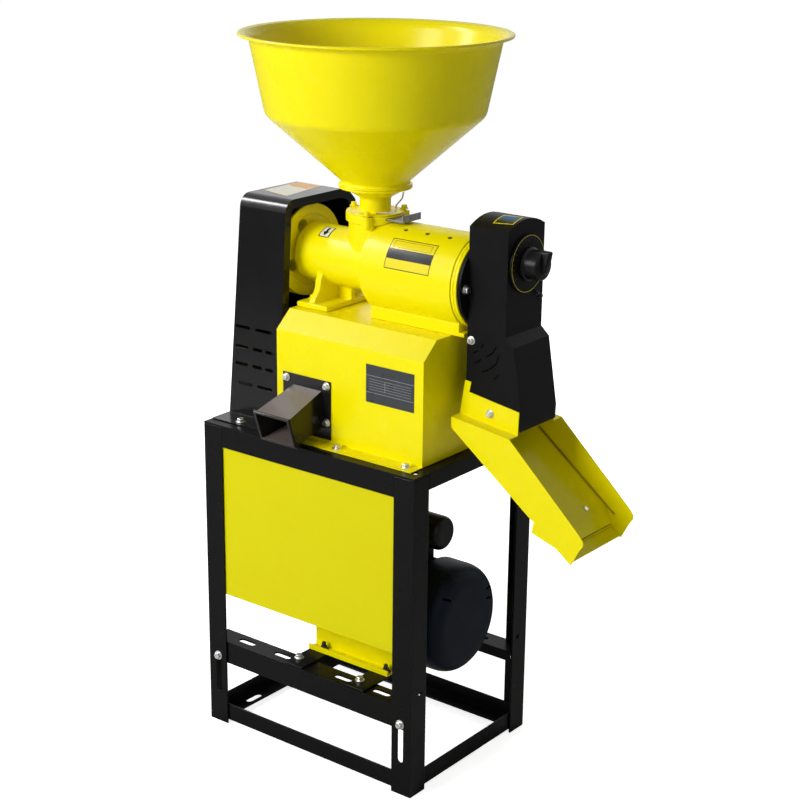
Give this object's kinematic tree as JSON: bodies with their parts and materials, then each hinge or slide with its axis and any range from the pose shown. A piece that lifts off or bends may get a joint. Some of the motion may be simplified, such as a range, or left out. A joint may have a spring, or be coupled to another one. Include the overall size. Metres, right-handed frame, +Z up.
{
  "type": "rice huller",
  "caption": "Small electric rice huller: a hopper feeds a belt-driven iron roller mill on an angle-iron stand, with a bran duct, pressure-gate outlet and discharge chute.",
  "frame": {"origin": "centre of the bounding box's bottom face, on the floor", "axes": "+X from the belt side to the discharge chute, +Y from the bran duct's side to the back, +Z up"},
  "size_m": [0.6614, 0.41, 1.136],
  "materials": {
    "belt_guard": "satin black paint",
    "bran_box": "gloss yellow paint",
    "bran_duct": "satin black paint",
    "bran_slide": "gloss yellow paint",
    "capacitor_box": "moulded black",
    "chute_floor": "gloss yellow paint",
    "chute_lip": "gloss yellow paint",
    "chute_side_back": "gloss yellow paint",
    "chute_side_front": "gloss yellow paint",
    "cross_member_left": "satin black paint",
    "cross_member_right": "satin black paint",
    "end_plate": "satin black paint",
    "end_ring": "gloss yellow paint",
    "feed_neck": "gloss yellow paint",
    "feed_screw": "machined cast iron",
    "front_panel": "gloss yellow paint",
    "hopper": "gloss yellow paint",
    "hopper_clip": "bare steel",
    "leg_back_left": "satin black paint",
    "leg_back_right": "satin black paint",
    "leg_front_left": "satin black paint",
    "leg_front_right": "satin black paint",
    "main_casting": "gloss yellow paint",
    "main_pulley": "gloss yellow paint",
    "main_shaft": "bare steel",
    "milling_blade": "bare steel",
    "milling_cylinder": "gloss yellow paint",
    "milling_roller": "machined cast iron",
    "motor_bearing_drive": "bare steel",
    "motor_bearing_fan": "bare steel",
    "motor_end_bell_drive": "satin dark blue paint",
    "motor_end_bell_fan": "satin dark blue paint",
    "motor_fan": "moulded black",
    "motor_fan_cover": "satin dark blue paint",
    "motor_foot": "gloss yellow paint",
    "motor_housing": "satin dark blue paint",
    "motor_pulley": "machined cast iron",
    "motor_rotor": "bare steel",
    "motor_stator": "bare steel",
    "outlet_casing": "satin black paint",
    "pressure_dial": "satin black paint",
    "pressure_knob": "moulded black",
    "pressure_plunger": "bare steel",
    "pressure_spring": "bare steel",
    "rail_bottom_back": "satin black paint",
    "rail_bottom_front": "satin black paint",
    "rail_bottom_left": "satin black paint",
    "rail_bottom_right": "satin black paint",
    "rail_mid_back": "satin black paint",
    "rail_mid_front": "satin black paint",
    "rail_top_back": "satin black paint",
    "rail_top_front": "satin black paint",
    "rail_top_left": "satin black paint",
    "rail_top_right": "satin black paint",
    "shaft_bearing_mill": "bare steel",
    "shaft_bearing_pulley": "bare steel",
    "sieve_screen": "bare steel",
    "slide_gate": "bare steel",
    "v_belt_left": "matt rubber",
    "v_belt_right": "matt rubber"
  },
  "bodies": {
    "machine": {"belt_guard": "belt_guard", "bran_box": "bran_box", "bran_duct": "bran_duct", "bran_slide": "bran_slide", "capacitor_box": "capacitor_box", "chute_floor": "chute_floor", "chute_lip": "chute_lip", "chute_side_back": "chute_side_back", "chute_side_front": "chute_side_front", "cross_member_left": "cross_member_left", "cross_member_right": "cross_member_right", "end_plate": "end_plate", "end_ring": "end_ring", "feed_neck": "feed_neck", "front_panel": "front_panel", "hopper": "hopper", "hopper_clip": "hopper_clip", "leg_back_left": "leg_back_left", "leg_back_right": "leg_back_right", "leg_front_left": "leg_front_left", "leg_front_right": "leg_front_right", "main_casting": "main_casting", "milling_blade": "milling_blade", "milling_cylinder": "milling_cylinder", "motor_bearing_drive": "motor_bearing_drive", "motor_bearing_fan": "motor_bearing_fan", "motor_end_bell_drive": "motor_end_bell_drive", "motor_end_bell_fan": "motor_end_bell_fan", "motor_fan_cover": "motor_fan_cover", "motor_foot": "motor_foot", "motor_housing": "motor_housing", "motor_stator": "motor_stator", "outlet_casing": "outlet_casing", "pressure_dial": "pressure_dial", "rail_bottom_back": "rail_bottom_back", "rail_bottom_front": "rail_bottom_front", "rail_bottom_left": "rail_bottom_left", "rail_bottom_right": "rail_bottom_right", "rail_mid_back": "rail_mid_back", "rail_mid_front": "rail_mid_front", "rail_top_back": "rail_top_back", "rail_top_front": "rail_top_front", "rail_top_left": "rail_top_left", "rail_top_right": "rail_top_right", "shaft_bearing_mill": "shaft_bearing_mill", "shaft_bearing_pulley": "shaft_bearing_pulley", "sieve_screen": "sieve_screen", "v_belt_left": "v_belt_left", "v_belt_right": "v_belt_right"},
    "main_rotor": {"main_shaft": "main_shaft", "main_pulley": "main_pulley", "feed_screw": "feed_screw", "milling_roller": "milling_roller"},
    "motor_spindle": {"motor_rotor": "motor_rotor", "motor_fan": "motor_fan", "motor_pulley": "motor_pulley"},
    "gate": {"slide_gate": "slide_gate"},
    "knob": {"pressure_knob": "pressure_knob"},
    "plunger": {"pressure_plunger": "pressure_plunger", "pressure_spring": "pressure_spring"}
  },
  "joints": [
    {"name": "main_shaft_spin", "type": "hinge", "parent": "machine", "child": "main_rotor", "pos_m": [-0.25425, 0, 0.7885], "axis": [1, 0, 0], "continuous": true},
    {"name": "motor_shaft_spin", "type": "hinge", "parent": "machine", "child": "motor_spindle", "pos_m": [-0.25425, 0, 0.241], "axis": [1, 0, 0], "continuous": true},
    {"name": "slide_gate_slide", "type": "slide", "parent": "machine", "child": "gate", "axis": [1, 0, 0], "range_m": [0, 0.046]},
    {"name": "pressure_knob_turn", "type": "hinge", "parent": "machine", "child": "knob", "pos_m": [0.18975, 0, 0.829], "axis": [1, 0, 0], "range_deg": [0, 270]},
    {"name": "pressure_plunger_slide", "type": "slide", "parent": "machine", "child": "plunger", "axis": [1, 0, 0], "range_m": [0, 0.006]}
  ],
  "couplings": [
    {"joint": "motor_shaft_spin", "follows": "main_shaft_spin", "ratio": 1.7381},
    {"joint": "pressure_knob_turn", "follows": "pressure_plunger_slide", "rad_per_m": 785.39}
  ]
}
